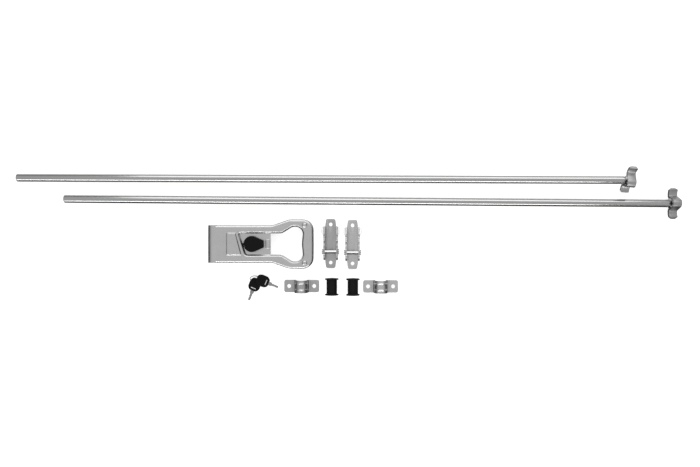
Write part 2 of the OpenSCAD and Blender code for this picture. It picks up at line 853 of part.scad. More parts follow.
module wire_ring(r) {
    translate(ring_at)
        rotate([ring_lean, 0, 0])
            rotate_extrude()
                translate([ring_r, 0])
                    circle(r = r, $fn = 32);
}

module key_place(at, a) {
    translate(at)
        rotate([0, 0, a])
            children();
}

function blade_plan() = [
    [key_head_l / 2 - 8, -root_w / 2], [key_head_l / 2 - 4, -root_w / 2], [key_head_l / 2 - 3, -3.9],
    [key_head_l / 2 + 5, -3.9], [key_head_l / 2 + 6.5, -key_blade_w / 2],
    [key_reach - 9, -key_blade_w / 2], [key_reach - 7.5, -0.6], [key_reach - 6, -key_blade_w / 2],
    [key_reach - 4.5, -key_blade_w / 2], [key_reach - 3.5, -1], [key_reach - 2, -key_blade_w / 2],
    [key_reach, -0.5], [key_reach - 1.5, key_blade_w / 2], [key_head_l / 2 + 6.5, key_blade_w / 2],
    [key_head_l / 2 + 5, 3.9], [key_head_l / 2 - 3, 3.9], [key_head_l / 2 - 4, root_w / 2],
    [key_head_l / 2 - 8, root_w / 2]];

module blade_body(grow) {
    translate([0, 0, key_head_t / 2 - blade_t / 2 - grow])
        linear_extrude(blade_t + 2 * grow)
            polygon(blade_plan());
}

module key_head(at, a) {
    difference() {
        key_place(at, a)
            difference() {
                linear_extrude(key_head_t)
                    polygon(rounded(key_plan(), arc_n));
                blade_body(0);
                translate([window_x - window_w / 2, -key_window / 2, key_head_t / 2])
                    cube([window_w, key_window, key_head_t]);
            }
        wire_ring(ring_wire / 2 + ring_free);
    }
}

module upper_bar_tube() {
    color("silver")
        upper_place()
            bar_tube();
}

module upper_bar_cam() {
    color("gray")
        upper_place()
            cam_body();
}

module upper_cam_welds() {
    color("gray")
        upper_place()
            cam_welds();
}

module lower_bar_tube() {
    color("silver")
        lower_place()
            bar_tube();
}

module lower_bar_cam() {
    color("gray")
        lower_place()
            cam_body();
}

module lower_cam_welds() {
    color("gray")
        lower_place()
            cam_welds();
}

module left_keeper() {
    color("silver")
        translate(left_keeper_at)
            keeper_body();
}

module left_keeper_bar() {
    color("silver")
        translate(left_keeper_at)
            keeper_bar();
}

module right_keeper() {
    color("silver")
        translate(right_keeper_at)
            keeper_body();
}

module right_keeper_bar() {
    color("silver")
        translate(right_keeper_at)
            keeper_bar();
}

module left_strap() {
    color("silver")
        translate(left_strap_at)
            strap_body();
}

module right_strap() {
    color("silver")
        translate(right_strap_at)
            strap_body();
}

module left_bush() {
    color("#1c1c1c")
        translate(left_bush_at)
            bush_body();
}

module right_bush() {
    color("#1c1c1c")
        translate(right_bush_at)
            bush_body();
}

module key_a_head() {
    color("#1c1c1c")
        key_head(key_a_at, key_a_turn);
}

module key_a_blade() {
    color("silver")
        key_place(key_a_at, key_a_turn)
            blade_body(0);
}

module key_b_head() {
    color("#1c1c1c")
        key_head(key_b_at, key_b_turn);
}

module key_b_blade() {
    color("silver")
        key_place(key_b_at, key_b_turn)
            blade_body(0);
}

module key_ring() {
    color("silver")
        wire_ring(ring_wire / 2);
}

upper_bar_tube();
upper_bar_cam();
upper_cam_welds();
lower_bar_tube();
lower_bar_cam();
lower_cam_welds();
handle_lever();
hub_sleeve();
hub_grub_screws();
handle_catch();
base_plate();
lock_housing();
lock_plug();
lock_nut();
lock_tongue();
tongue_screw();
lock_cover();
cover_hinge_pin();
left_keeper();
left_keeper_bar();
right_keeper();
right_keeper_bar();
left_strap();
right_strap();
left_bush();
right_bush();
key_a_head();
key_a_blade();
key_b_head();
key_b_blade();
key_ring();
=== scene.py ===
import math

import bmesh
import bpy
from mathutils import Matrix, Vector


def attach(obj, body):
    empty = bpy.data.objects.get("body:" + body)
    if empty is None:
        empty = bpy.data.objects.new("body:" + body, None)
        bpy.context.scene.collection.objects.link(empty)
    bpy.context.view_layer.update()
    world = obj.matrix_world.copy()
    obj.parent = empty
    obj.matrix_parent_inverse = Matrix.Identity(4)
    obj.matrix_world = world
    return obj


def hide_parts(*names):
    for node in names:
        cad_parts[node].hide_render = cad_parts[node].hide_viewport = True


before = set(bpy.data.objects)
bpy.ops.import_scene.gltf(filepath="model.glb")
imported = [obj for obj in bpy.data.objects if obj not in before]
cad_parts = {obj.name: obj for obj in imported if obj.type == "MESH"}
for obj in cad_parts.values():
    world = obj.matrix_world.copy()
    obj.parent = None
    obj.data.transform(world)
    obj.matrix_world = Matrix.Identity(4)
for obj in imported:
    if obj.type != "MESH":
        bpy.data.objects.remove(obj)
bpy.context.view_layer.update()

# Outlines are drawn in millimetres and brought to metres when a piece is finished.
MM = 0.001
# Faces that meet at a smaller angle than this are shaded as one round surface.
SMOOTH_BELOW = 38.0
# A corner keeps at least this radius when its outline is moved in.
LEAST_CORNER = 0.2


# Outlines: a point is (x, y) and a corner is (x, y, radius)

def polar(c, r, a):
    return (c[0] + r * math.cos(math.radians(a)), c[1] + r * math.sin(math.radians(a)))


def arc(c, r, a0, sweep, n):
    return [polar(c, r, a0 + sweep * i / n) for i in range(n + 1)]


def circle(c, r, n=32):
    return arc(c, r, 0, 360, n)[:-1]


def rect(x0, x1, half, r0, r1):
    """Corners of a rectangle that is centred on the X axis, with one radius for each end."""
    return [(x0, -half, r0), (x1, -half, r1), (x1, half, r1), (x0, half, r0)]


def mirrored(pts):
    """Points or corners on the other side of the Y axis, in reverse order."""
    return [(-p[0], *p[1:]) for p in reversed(pts)]


def corner_facts(a, p, b):
    """Directions from a corner to its neighbours, half the angle between them and the turn's side."""
    u = (Vector(a[:2]) - Vector(p[:2])).normalized()
    w = (Vector(b[:2]) - Vector(p[:2])).normalized()
    half = math.acos(max(-1, min(1, u.dot(w)))) / 2
    side = 1 if u.x * w.y - u.y * w.x < 0 else -1
    return u, w, half, side


def fillet(a, p, b, n):
    u, w, half, _ = corner_facts(a, p, b)
    c = Vector(p[:2]) + (u + w).normalized() * p[2] / math.sin(half)
    t0 = Vector(p[:2]) + u * p[2] / math.tan(half) - c
    t1 = Vector(p[:2]) + w * p[2] / math.tan(half) - c
    a0 = math.degrees(math.atan2(t0.y, t0.x))
    sweep = (math.degrees(math.atan2(t1.y, t1.x)) - a0 + 180) % 360 - 180
    return arc(c, p[2], a0, sweep, n)


def neighbours(corners):
    k = len(corners)
    return [(corners[i - 1], corners[i], corners[(i + 1) % k]) for i in range(k)]


def rounded(corners, n):
    """The outline through the corners, each drawn as an arc of n steps."""
    return [q for a, p, b in neighbours(corners) for q in fillet(a, p, b, n)]


def inset(corners, d):
    out = []
    for a, p, b in neighbours(corners):
        u, w, half, side = corner_facts(a, p, b)
        q = Vector(p[:2]) + (u + w).normalized() * side * d / math.sin(half)
        out.append((q.x, q.y, max(LEAST_CORNER, p[2] - side * d)))
    return out


# Solids

def chain(bm, pts, z=0.0, closed=True):
    """Vertices and edges of one outline, flat at height z."""
    vs = [bm.verts.new((x, y, z)) for x, y in pts]
    pairs = list(zip(vs, vs[1:])) + ([(vs[-1], vs[0])] if closed else [])
    return vs, [bm.edges.new(p) for p in pairs]


def skin(bm, rows, closed=True):
    """Bands between outlines at their heights; the edges of every outline come back."""
    loops = [chain(bm, pts, z, closed)[1] for pts, z in rows]
    for a, b in zip(loops, loops[1:]):
        bmesh.ops.bridge_loops(bm, edges=a + b)
    return loops


def prism(outline, depth, bevel=0.0, segments=3, holes=()):
    """A flat outline with its holes, raised along Z and softened at its rims."""
    bm = bmesh.new()
    _, edges = chain(bm, outline)
    for hole in holes:
        edges = edges + chain(bm, hole)[1]
    if holes:
        bmesh.ops.triangle_fill(bm, use_beauty=True, use_dissolve=True, edges=edges)
    else:
        bmesh.ops.contextual_create(bm, geom=edges)
    flat = bmesh.ops.extrude_face_region(bm, geom=bm.faces[:])["geom"]
    top = [g for g in flat if isinstance(g, bmesh.types.BMVert)]
    bmesh.ops.translate(bm, vec=(0, 0, depth), verts=top)
    bmesh.ops.recalc_face_normals(bm, faces=bm.faces)
    if bevel:
        soften(bm, bevel, segments)
    return bm


def soften(bm, width, segments, least=50.0):
    """Rounds the edges whose faces meet at more than the least angle."""
    bm.normal_update()
    sharp = [e for e in bm.edges
             if len(e.link_faces) == 2 and math.degrees(e.calc_face_angle()) > least]
    bmesh.ops.bevel(bm, geom=sharp, offset=width, offset_type="OFFSET", segments=segments,
                    profile=0.5, affect="EDGES", clamp_overlap=True, material=-1)


def lathe(profile, sweep=360.0, steps=48, closed=True):
    """A radius and height outline turned about Z."""
    bm = bmesh.new()
    vs, edges = chain(bm, profile, closed=closed)
    for v in vs:
        v.co = (v.co.x, 0, v.co.y)
    full = sweep >= 360
    bmesh.ops.spin(bm, geom=vs + edges, cent=(0, 0, 0), axis=(0, 0, 1), angle=math.radians(sweep),
                   steps=steps, use_merge=full, use_duplicate=False)
    bmesh.ops.remove_doubles(bm, verts=bm.verts, dist=1e-4)
    if not full:
        bmesh.ops.holes_fill(bm, edges=[e for e in bm.edges if e.is_boundary], sides=0)
    bmesh.ops.recalc_face_normals(bm, faces=bm.faces)
    return bm


def rod(r, length, edge):
    """A round bar along Z with softened ends."""
    end = [(0, 0), (r - edge, 0), (r - 0.3 * edge, 0.3 * edge), (r, edge)]
    return lathe(end + [(x, length - z) for x, z in reversed(end)], closed=False)


def put(bm, *moves):
    for m in moves:
        bmesh.ops.transform(bm, matrix=m, verts=bm.verts)
    return bm


def merged(parts):
    """Several solids as one mesh."""
    whole = bmesh.new()
    for bm in parts:
        mesh = bpy.data.meshes.new("part")
        bm.to_mesh(mesh)
        bm.free()
        whole.from_mesh(mesh)
        bpy.data.meshes.remove(mesh)
    return whole


def move(x, y, z=0.0):
    return Matrix.Translation((x, y, z))


def turn(axis, angle):
    return Matrix.Rotation(math.radians(angle), 4, axis)


Z_TO_X = turn("Y", 90)
Z_TO_Y = turn("X", -90)
# An outline drawn in Y and Z, raised along X.
YZ_ALONG_X = Matrix(((0, 0, 1, 0), (1, 0, 0, 0), (0, 1, 0, 0), (0, 0, 0, 1)))


def piece(name, bm, material, body, nodes):
    """A finished mesh that rides on a body, in place of the CAD nodes."""
    name = name.replace(" ", "-")
    bmesh.ops.scale(bm, vec=(MM, MM, MM), verts=bm.verts)
    mesh = bpy.data.meshes.new(name)
    bm.to_mesh(mesh)
    bm.free()
    mesh.materials.append(material)
    for p in mesh.polygons:
        p.use_smooth = True
    mesh.set_sharp_from_angle(angle=math.radians(SMOOTH_BELOW))
    obj = bpy.data.objects.new(name, mesh)
    bpy.context.scene.collection.objects.link(obj)
    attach(obj, body)
    if nodes:
        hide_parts(*nodes)


# Materials

def linear(code):
    """An sRGB hex colour as linear RGBA."""
    parts = [int(code[i:i + 2], 16) / 255 for i in (1, 3, 5)]
    return tuple(c / 12.92 if c <= 0.04045 else ((c + 0.055) / 1.055) ** 2.4 for c in parts) + (1.0,)


def add(tree, kind, values=None, links=None, **settings):
    """One node with its settings, the values of its sockets and the outputs that feed them."""
    node = tree.nodes.new(kind)
    for key, value in settings.items():
        setattr(node, key, value)
    for socket, value in (values or {}).items():
        node.inputs[socket].default_value = value
    for socket, output in (links or {}).items():
        tree.links.new(output, node.inputs[socket])
    return node


# Sockets of a Mix node that mixes colours
MIX_SHARE, MIX_A, MIX_B, MIX_OUT = 0, 6, 7, 2
RELIEF_MM = 0.2


def finish(name, low, high, rough, swing, grain_mm, stretch=(1, 1, 1), bump=0.0, fine_mm=1.0,
           metal=1.0, sheen=0.5):
    """A surface whose colour and gloss wander between two values in a grain of the given size."""
    mat = bpy.data.materials.new(name)
    mat.use_nodes = True
    tree = mat.node_tree
    shader = tree.nodes["Principled BSDF"]
    shader.inputs["Metallic"].default_value = metal
    shader.inputs["Specular IOR Level"].default_value = sheen
    place = add(tree, "ShaderNodeTexCoord").outputs["Object"]
    scale = add(tree, "ShaderNodeMapping", {"Scale": stretch}, {"Vector": place})
    noise = add(tree, "ShaderNodeTexNoise",
                {"Scale": 1.0 / (grain_mm * MM), "Detail": 5.0, "Roughness": 0.6},
                {"Vector": scale.outputs["Vector"]})
    cloud = noise.outputs["Fac"]
    tone = add(tree, "ShaderNodeMix", {MIX_A: linear(low), MIX_B: linear(high)},
               {MIX_SHARE: cloud}, data_type="RGBA")
    gloss = add(tree, "ShaderNodeMapRange",
                {"From Min": 0.3, "From Max": 0.7, "To Min": rough - swing, "To Max": rough + swing},
                {"Value": cloud})
    tree.links.new(tone.outputs[MIX_OUT], shader.inputs["Base Color"])
    tree.links.new(gloss.outputs["Result"], shader.inputs["Roughness"])
    if bump:
        grain = add(tree, "ShaderNodeTexNoise", {"Scale": 1.0 / (fine_mm * MM), "Detail": 3.0},
                    {"Vector": place})
        relief = add(tree, "ShaderNodeBump", {"Strength": bump, "Distance": RELIEF_MM * MM},
                     {"Height": grain.outputs["Fac"]})
        tree.links.new(relief.outputs["Normal"], shader.inputs["Normal"])
    return mat


# The grains of plating and mouldings are drawn coarser than real ones, so that they show at all.

# Drawn steel tube, bright zinc plated: long faint draw marks.
tube_zinc = finish("bright_zinc_drawn_tube", "#C2C2C2", "#CCCCCC", rough=0.16, swing=0.05,
                   grain_mm=6, stretch=(0.03, 1, 1))
# Pressed steel sheet, bright zinc plated: soft cloudy gloss.
sheet_zinc = finish("bright_zinc_pressed_sheet", "#DADADA", "#E4E4E4", rough=0.3, swing=0.06,
                    grain_mm=14, bump=0.05, fine_mm=1.2)
# Bent steel strip, zinc plated after bending: duller and a little uneven. On the left keeper and strap
# its darker tone is painted shade.
strip_zinc = finish("zinc_plated_bent_strip", "#C4C4C4", "#D2D2D2", rough=0.34, swing=0.08,
                    grain_mm=5, bump=0.15, fine_mm=1.5)
# Hot bent flat bar of the cams, zinc plated: dull, with a coarse grain.
cam_zinc = finish("zinc_plated_bent_flat_bar", "#B2B2B2", "#C2C2C2", rough=0.4, swing=0.08,
                  grain_mm=4, bump=0.2, fine_mm=1.5)
# Small turned steel hardware, zinc plated: even and rather sharp reflections.
turned_zinc = finish("plated_turned_steel", "#C8C8C8", "#D6D6D6", rough=0.2, swing=0.05, grain_mm=4)
# Weld metal under the plating: uneven tone and small lumps.
weld_zinc = finish("plated_weld_metal", "#B4B4B4", "#D8D8D8", rough=0.25, swing=0.1, grain_mm=2,
                   bump=0.4, fine_mm=1.0)
# Moulded black nylon of the bushes: a dull sheen.
nylon = finish("moulded_black_nylon", "#0C0C0C", "#131313", rough=0.42, swing=0.06, grain_mm=3,
               bump=0.12, fine_mm=0.5, metal=0.0, sheen=0.2)
# Moulded black lock cover and key heads: finely textured, nearly without gloss.
moulding = finish("moulded_black_cover", "#0A0A0A", "#101010", rough=0.5, swing=0.06, grain_mm=2,
                  bump=0.12, fine_mm=0.4, metal=0.0, sheen=0.15)
# Nickel plated brass key blades: a soft grey gloss.
nickel = finish("nickel_plated_brass_blade", "#A6A6A6", "#B6B6B6", rough=0.32, swing=0.08, grain_mm=2)
# Spring wire of the key ring, nickel plated: dull.
ring_nickel = finish("dull_nickel_spring_wire", "#8A8A8A", "#989898", rough=0.4, swing=0.06, grain_mm=2)
# Bright nickel edge of the blade's root in a key head's window. It is too thin to show as a mirror
# would, so it is drawn rough and shines from every side.
polished = finish("polished_nickel_edge", "#F2F2F2", "#FAFAFA", rough=0.5, swing=0.05, grain_mm=2)


# Lock bars

BAR_R, BAR_LEN, BAR_WALL, BAR_EDGE = 8.0, 1258.0, 1.5, 0.8
CAM_T, CAM_W, CAM_REACH, CAM_TOP, CAM_SLOPE = 5.5, 17.0, 31.9, 18.4, 66.0
CAM_BEND, CAM_WING, CAM_CHAMFER, CAM_EDGE = 3.0, 19.0, 4.0, 1.1
CAM_SKEW = {"upper": -6, "lower": 0}    # the upper cam is welded on a little askew
CAM_LAP, WELD, WELD_SWEEP = 12, 2.6, 64
CAM_AT = BAR_LEN - CAM_LAP
# The bar is dressed to a smaller radius under its cam and the beads, and plain up to there.
END_R, END_STEP, END_GAP = 7.5, 0.6, 1
PLAIN = CAM_AT - WELD - END_GAP
UPPER = move(-470.2, 136.3, BAR_R) @ turn("Z", -0.278) @ turn("Y", -0.64565) @ turn("X", 38)
LOWER = move(-372.8, 92.7, BAR_R) @ turn("Z", -0.425)


def bar_tube():
    """A tube along Z; rings close to its ends keep the edges' normals off the long wall."""
    inner = BAR_R - BAR_WALL
    start = [(inner, 0.4), (inner + 0.3, 0), (BAR_R - BAR_EDGE, 0), (BAR_R - 0.25, 0.2),
             (BAR_R, BAR_EDGE), (BAR_R, 2 * BAR_EDGE)]
    end = [(BAR_R, PLAIN - BAR_EDGE), (BAR_R, PLAIN), (END_R, PLAIN + END_STEP),
           (END_R, BAR_LEN), (inner, BAR_LEN)]
    return lathe(start + end, steps=64)


def cam_half():
    """One side of the bent strip across the bar: saddle, leg, valley bend and rising wing."""
    lean = math.cos(math.radians(CAM_SLOPE))
    leg, low = END_R + CAM_T, CAM_T - BAR_R
    saddle = (CAM_TOP - leg) / (1 - lean)
    r = leg - saddle * lean
    bend = low + CAM_BEND
    out = (leg + CAM_BEND - bend * lean) / math.sin(math.radians(CAM_SLOPE))
    sweep = math.degrees(math.asin((CAM_REACH - out) / (CAM_WING + CAM_T)))
    upper = arc((0, saddle), r, 90, -CAM_SLOPE, 12)[1:]
    upper += arc((out, bend), CAM_BEND, 270 - CAM_SLOPE, CAM_SLOPE, 8)
    upper += arc((out, low + CAM_WING), CAM_WING, 270, sweep, 10)[1:]
    under = arc((out, low + CAM_WING), CAM_WING + CAM_T, 270 + sweep, -sweep, 10)
    under += arc((out, bend), CAM_BEND + CAM_T, 270, -CAM_SLOPE, 8)[1:]
    under += arc((0, saddle), r - CAM_T, 90 - CAM_SLOPE, CAM_SLOPE, 12)[:-1]
    return upper, under


def cam():
    """The bent strip with its four corners cut off."""
    upper, under = cam_half()
    outline = mirrored(upper) + [(0, CAM_TOP)] + upper
    outline += under + [(0, CAM_TOP - CAM_T)] + mirrored(under)
    bm = prism(outline, CAM_W)
    for x in (0, CAM_W):
        for s in (-1, 1):
            cut = bmesh.ops.bisect_plane(bm, geom=bm.verts[:] + bm.edges[:] + bm.faces[:],
                                         plane_co=(s * CAM_REACH, 0, abs(x - CAM_CHAMFER)),
                                         plane_no=(s, 0, 1 if x else -1), clear_outer=True)
            edges = [e for e in cut["geom_cut"] if isinstance(e, bmesh.types.BMEdge)]
            bmesh.ops.contextual_create(bm, geom=edges)
    bmesh.ops.recalc_face_normals(bm, faces=bm.faces)
    soften(bm, CAM_EDGE, segments=4, least=40)
    return put(bm, YZ_ALONG_X, move(CAM_AT, 0))


def cam_welds():
    """Two beads where the bar meets the legs of the cam."""
    r = BAR_R + WELD
    bead = [(END_R, 0), (r, 0), (r - 0.5, 1.0), (BAR_R + 1.2, 2.1), (END_R + 0.4, WELD), (END_R, WELD)]
    beads = []
    for a in (-CAM_SLOPE, CAM_SLOPE):
        whole = lathe(bead, sweep=WELD_SWEEP, steps=16)
        beads.append(put(whole, turn("Z", a - WELD_SWEEP / 2), turn("Y", -90), move(CAM_AT, 0)))
    return merged(beads)


for side, place in (("upper", UPPER), ("lower", LOWER)):
    body = side + "_bar"
    piece(side + " bar tube", put(bar_tube(), Z_TO_X, place), tube_zinc, body, [side + "_bar_tube"])
    pivot = place @ Vector((CAM_AT + CAM_W / 4, 0, 0))
    askew = move(*pivot) @ turn("Z", CAM_SKEW[side]) @ move(*-pivot)
    piece(side + " bar cam", put(cam(), place, askew), cam_zinc, body, [side + "_bar_cam"])
    piece(side + " cam welds", put(cam_welds(), place, askew), weld_zinc, body, [side + "_cam_welds"])


# Handle

HANDLE_T, TOP, HALF_W = 2.0, 26.5, 38.3
HUB_X, AXIS_Z, HUB_CURL = -63.2, 14.2, 115
RIM_R, RIM_X, RIM_Z = 5.0, -58.0, 0.6
LIP_R, LIP_SLOPE, LIP_Z = 3.2, 66.0, 20.5
PANEL_RISE, PANEL_WALL = 3.13, 3.05
BUMP_X, BUMP_Y = 122.5, 38.5
CORNER_STEPS, BEND_STEPS = 10, 7
rim_corners = [(RIM_X, -HALF_W, 0.2), (56, -HALF_W, 30), (91, -50.3, 30), (139.4, -50.3, 21),
               (139.8, 0, 160), (139.4, 50.3, 21), (91, 50.3, 30), (56, HALF_W, 30),
               (RIM_X, HALF_W, 0.2)]
lip_corners = [(3, -21.5, 5), (76, -21.5, 20), (98, -35.2, 12), (120.5, -35.2, 15), (116.5, 0, 60),
               (120.5, 35.2, 15), (98, 35.2, 12), (76, 21.5, 20), (-10.8, 21.5, 3)]
panel_corners = [(-37, -23.6, 4), (-4, -23.6, 4), (-17, 23.6, 4), (-37, 23.6, 4)]


def rim_path(d):
    """The rim outline moved in by d, open at the hub end."""
    bends = rounded(inset(rim_corners, d), CORNER_STEPS)[CORNER_STEPS + 1:-CORNER_STEPS - 1]
    return [(RIM_X, -HALF_W + d)] + bends + [(RIM_X, HALF_W - d)]


def rim_rows():
    """The rim stands up from its cut edge and bends in to the top."""
    rows = [(rim_path(0), RIM_Z)]
    for k in range(BEND_STEPS + 1):
        tilt = math.pi / 2 * k / BEND_STEPS
        rows.append((rim_path(RIM_R * (1 - math.cos(tilt))), TOP - RIM_R * (1 - math.sin(tilt))))
    return rows


def lip_rows():
    """The lip rises straight from its cut edge and bends out to the top."""
    slope = math.radians(LIP_SLOPE)
    straight = (TOP - LIP_R * (1 - math.cos(slope)) - LIP_Z) / math.tan(slope)
    steps = [(0, LIP_Z)]
    for k in range(BEND_STEPS + 1):
        tilt = slope * (1 - k / BEND_STEPS)
        out = straight + LIP_R * (math.sin(slope) - math.sin(tilt))
        steps.append((out, TOP - LIP_R * (1 - math.cos(tilt))))
    return [(rounded(inset(lip_corners, -d), CORNER_STEPS), z) for d, z in steps]


def panel_rows():
    """The pressed panel rises over a rounded foot and a steep wall to its flat top."""
    foot = [(0, 0), (0.35, 0.06), (0.65, 0.24), (0.85, 0.47)]
    steps = foot + [(PANEL_WALL - d, PANEL_RISE - z) for d, z in reversed(foot)]
    return [(rounded(inset(panel_corners, d), CORNER_STEPS), TOP + z) for d, z in steps]


def handle():
    """The top between rim, lip and panel, with its end curled round the hub, made a sheet."""
    bm = bmesh.new()
    rim_top = skin(bm, rim_rows(), closed=False)[-1]
    lip_top = skin(bm, lip_rows())[-1]
    panel_foot = chain(bm, panel_rows()[0][0], TOP)[1]
    ends = sorted((v for e in rim_top for v in e.verts if abs(v.co.x - RIM_X) < 1e-4),
                  key=lambda v: v.co.y)
    corners = [(RIM_X, HALF_W), (HUB_X, HALF_W), (HUB_X, -HALF_W), (RIM_X, -HALF_W)]
    way = [ends[-1]] + [bm.verts.new((x, y, TOP)) for x, y in corners] + [ends[0]]
    back = [bm.edges.new(p) for p in zip(way, way[1:])]
    bmesh.ops.triangle_fill(bm, use_beauty=True, use_dissolve=False,
                            edges=rim_top + lip_top + back + panel_foot)
    panel_top = skin(bm, panel_rows())[-1]
    bmesh.ops.contextual_create(bm, geom=panel_top)
    bmesh.ops.spin(bm, geom=[back[2]], cent=(HUB_X, 0, AXIS_Z), axis=(0, 1, 0),
                   angle=math.radians(-HUB_CURL), steps=24)
    bmesh.ops.remove_doubles(bm, verts=bm.verts, dist=1e-3)
    bmesh.ops.recalc_face_normals(bm, faces=bm.faces)
    if sum(f.normal.z * f.calc_area() for f in bm.faces) < 0:
        bmesh.ops.reverse_faces(bm, faces=bm.faces)
    bmesh.ops.solidify(bm, geom=bm.faces[:], thickness=HANDLE_T)
    bmesh.ops.recalc_face_normals(bm, faces=bm.faces)
    return bm


def grip_bump():
    """A dimple pressed up in a corner of the grip."""
    profile = [(5.6, -0.4), (5.4, 0.15), (4.9, 0.7), (4.1, 1.5), (3.1, 2.05), (1.6, 2.35), (0, 2.4)]
    return lathe(profile, steps=40, closed=False)


piece("handle lever", handle(), sheet_zinc, "handle", ["handle_lever"])
bumps = merged([put(grip_bump(), move(BUMP_X, s * BUMP_Y, TOP)) for s in (-1, 1)])
piece("grip bumps", bumps, sheet_zinc, "handle", [])


# Lock cover, over the lock head

LOCK_X, COVER_Z, COVER_T, COVER_R, COVER_EDGE = 14.9, 21.8, 5.7, 16.3, 0.9
SHOULDER = 70    # where the round head passes into the tapered end, in degrees
NOTCH_X, NOTCH_Y, LUG_Y, LUG_TIP = -13.4, 5.5, 2.7, (-18.2, 1.0)
COVER_END = [(24.1, 6.4), (22.9, 7.6)]


def cover():
    """A round head with a hinge lug between two notches, and a tapered end."""
    def at(y):
        return 180 - math.degrees(math.asin(y / COVER_R))

    half = COVER_END + arc((0, 0), COVER_R, SHOULDER, at(NOTCH_Y) - SHOULDER, 24)
    half += [(NOTCH_X, NOTCH_Y), (NOTCH_X, LUG_Y), polar((0, 0), COVER_R, at(LUG_Y)), LUG_TIP]
    outline = half + [(x, -y) for x, y in reversed(half)]
    return put(prism(outline, COVER_T, bevel=COVER_EDGE, segments=4), move(LOCK_X, 0, COVER_Z))


piece("lock cover", cover(), moulding, "cover", ["lock_cover"])


# Pressed tab at the front of the base plate

PLATE_TOP = 19.5


def base_tab():
    """A low tab with rounded shoulders."""
    corners = rect(42.4, 52.5, 10.4, 3, 0.4)
    steps = ((0, -0.3), (0.1, 0.2), (0.5, 0.9), (0.9, 1.45), (1.4, 1.8), (2.1, 1.9))
    bm = bmesh.new()
    top = skin(bm, [(rounded(inset(corners, d), 6), PLATE_TOP + z) for d, z in steps])[-1]
    bmesh.ops.contextual_create(bm, geom=top)
    bmesh.ops.recalc_face_normals(bm, faces=bm.faces)
    return bm


piece("base tab", base_tab(), sheet_zinc, "door_set", [])


# The left keeper and strap get the darker strip plating as painted shade, so they read darker than the
# right ones

SIDE_ZINC_WITH_PAINTED_SHADE = {"left": strip_zinc, "right": sheet_zinc}


# Keepers

KEEPER_AT = {"left": (175.1, 0.9), "right": (220.3, -1.0)}
KEEPER_T, KEEPER_WALL, KEEPER_INSIDE = 2.5, 3.0, 23.6
KEEPER_HALF = KEEPER_INSIDE / 2
KEEPER_OUT = KEEPER_HALF + KEEPER_WALL
KEEPER_HOLE_R, KEEPER_HOLE_Y = 3.75, 39.5
KEEPER_BAR_Y, KEEPER_BAR_Z = -16.6, 17
RIVET_R, RIVET_T, RIVET_EDGE = 5.2, 2.8, 1.0
EAR_X, EAR_Y, EAR_LOW, EAR_SHOULDER, EAR_TOP, EAR_ROUND = 15.5, 26.6, 18.9, 22.7, 22.95, 0.9
plan_corners = [(9.3, -51, 4), (10.9, -39, 6), (11.2, -34.6, 0.2), (KEEPER_OUT, -34.3, 0.3),
                (KEEPER_OUT, 35.3, 0.3), (11.2, 35.6, 0.2), (10.9, 39, 6), (9.3, 51, 4)]
wall_corners = [(-34, 0, 0.5), (35, 0, 0.5), (35, 16.2, 1.5), (19.5, 23.8, 2.5), (13.5, 13, 3),
                (7, 17.5, 3), (1.5, 10.5, 2.5), (-4, 12, 2.5), (-8, 18, 3), (-10, 23.5, 3),
                (-23, 23.5, 4), (-25, 16, 2), (-28.5, 15, 1.5), (-33.5, 9.4, 1.5), (-34, 3, 0.5)]
ramp_corners = [(2.7, 2.1, 0.5), (-0.9, 3.6, 0.5), (-3.7, 0.3, 0.5), (-3, -3.4, 0.5), (2.7, -3.4, 0.5)]


def outside(s, x, depth):
    """Where a piece that is raised along X starts, so that it lies beyond x on side s."""
    return s * (x + depth / 2) - depth / 2


def keeper():
    """The foot with its two holes, and a shaped wall on each side."""
    holes = [circle((0, y), KEEPER_HOLE_R) for y in (-KEEPER_HOLE_Y, KEEPER_HOLE_Y)]
    plan = rounded(plan_corners + mirrored(plan_corners), 6)
    parts = [prism(plan, KEEPER_T, bevel=0.35, segments=2, holes=holes)]
    for s in (-1, 1):
        wall = prism(rounded(wall_corners, 6), KEEPER_WALL, bevel=0.6)
        parts.append(put(wall, YZ_ALONG_X, move(outside(s, KEEPER_HALF, KEEPER_WALL), 0)))
    return merged(parts)


def keeper_ear():
    """A loop on the outside of a wall, open from top to bottom."""
    steps = ((2.4, 7.6, EAR_LOW), (2.4, 7.6, EAR_SHOULDER), (2.15, 7.35, EAR_TOP),
             (1.85, 7.05, EAR_TOP), (1.6, 6.8, EAR_SHOULDER), (1.6, 6.8, EAR_LOW))
    bm = bmesh.new()
    loops = skin(bm, [(rounded(rect(-a, a, b, a * EAR_ROUND, a * EAR_ROUND), 8), z) for a, b, z in steps])
    bmesh.ops.bridge_loops(bm, edges=loops[-1] + loops[0])
    bmesh.ops.recalc_face_normals(bm, faces=bm.faces)
    return bm


def keeper_bar():
    """A bar ground to a ramp at the back and a steep face at the front, with its riveted ends."""
    ramp = prism(rounded(ramp_corners, 5), 2 * KEEPER_OUT)
    parts = [put(ramp, YZ_ALONG_X, move(-KEEPER_OUT, KEEPER_BAR_Y, KEEPER_BAR_Z))]
    for s in (-1, 1):
        end = move(outside(s, KEEPER_OUT, RIVET_T), KEEPER_BAR_Y, KEEPER_BAR_Z)
        parts.append(put(rod(RIVET_R, RIVET_T, RIVET_EDGE), Z_TO_X, end))
    return merged(parts)


for side, at in KEEPER_AT.items():
    ears = [put(keeper_ear(), move(s * EAR_X, EAR_Y)) for s in (-1, 1)]
    whole = put(merged([keeper()] + ears), move(*at))
    piece(side + " keeper", whole, SIDE_ZINC_WITH_PAINTED_SHADE[side], "door_set", [side + "_keeper"])
    bar = put(keeper_bar(), move(*at))
    piece(side + " keeper bar", bar, turned_zinc, "door_set", [side + "_keeper_bar"])


# Bearing straps

